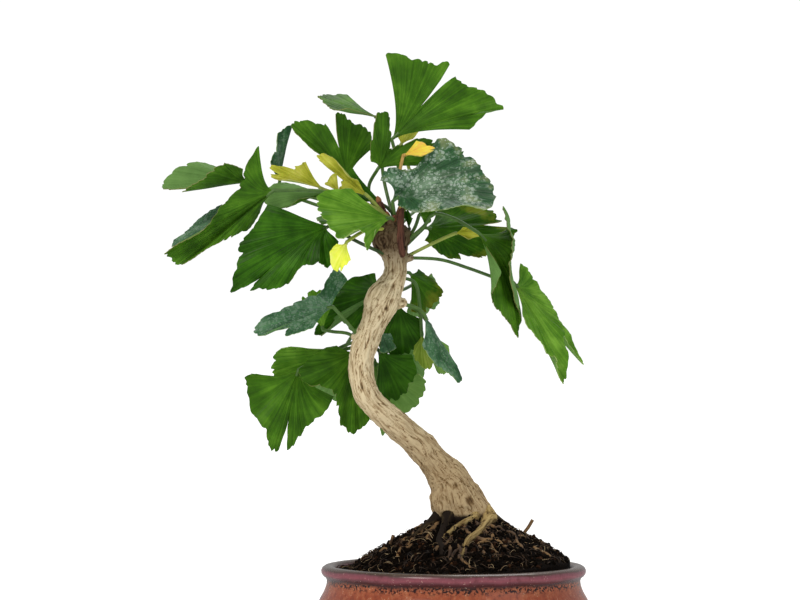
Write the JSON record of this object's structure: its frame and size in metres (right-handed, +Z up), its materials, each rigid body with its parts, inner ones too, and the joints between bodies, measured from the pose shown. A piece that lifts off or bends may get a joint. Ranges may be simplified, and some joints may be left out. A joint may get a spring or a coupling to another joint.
{
  "type": "ginkgo bonsai",
  "caption": "Small ginkgo tree with an S-shaped trunk, fan-shaped leaves and bare surface roots, growing in a mound of soil in a round glazed pot.",
  "frame": {"origin": "centre of the pot's flat base, on the surface it stands on", "axes": "+Z up, -Y the front that the picture shows, +X to the right seen from the front"},
  "size_m": [0.2432, 0.1541, 0.3564],
  "materials": {
    "glaze": "glossy, copper red with a pink-mauve lip",
    "net": "matt black polyethylene",
    "soil": "crumbly potting soil",
    "bark": "rough fissured bark",
    "leaf": "satin living leaf",
    "glaucous_leaf": "blue-green leaf with a chalky film",
    "young_leaf": "satin yellow-green young leaf"
  },
  "bodies": {
    "root": {"pot": "glaze", "drain_net_1": "net", "drain_net_2": "net", "drain_net_3": "net", "soil": "soil", "trunk": "bark", "leaf_01": "leaf", "leaf_02": "leaf", "leaf_03": "leaf", "leaf_04": "leaf", "leaf_05": "leaf", "leaf_06": "glaucous_leaf", "leaf_07": "leaf", "leaf_08": "leaf", "leaf_09": "leaf", "leaf_10": "glaucous_leaf", "leaf_11": "glaucous_leaf", "leaf_12": "leaf", "leaf_13": "leaf", "leaf_14": "leaf", "leaf_15": "leaf", "leaf_16": "leaf", "leaf_17": "leaf", "leaf_18": "leaf", "leaf_19": "leaf", "leaf_20": "leaf", "leaf_21": "glaucous_leaf", "leaf_22": "glaucous_leaf", "leaf_23": "leaf", "leaf_24": "leaf", "leaf_25": "glaucous_leaf", "leaf_26": "leaf", "leaf_27": "leaf", "leaf_28": "leaf", "leaf_29": "leaf", "leaf_30": "leaf", "leaf_31": "leaf", "leaf_32": "leaf", "leaf_33": "leaf", "leaf_34": "leaf", "leaf_35": "leaf", "leaf_36": "leaf", "leaf_37": "leaf", "leaf_38": "leaf", "young_leaf_1": "young_leaf", "young_leaf_2": "young_leaf", "young_leaf_3": "young_leaf", "young_leaf_4": "young_leaf", "young_leaf_5": "young_leaf", "young_leaf_6": "young_leaf", "young_leaf_7": "young_leaf"}
  },
  "joints": []
}
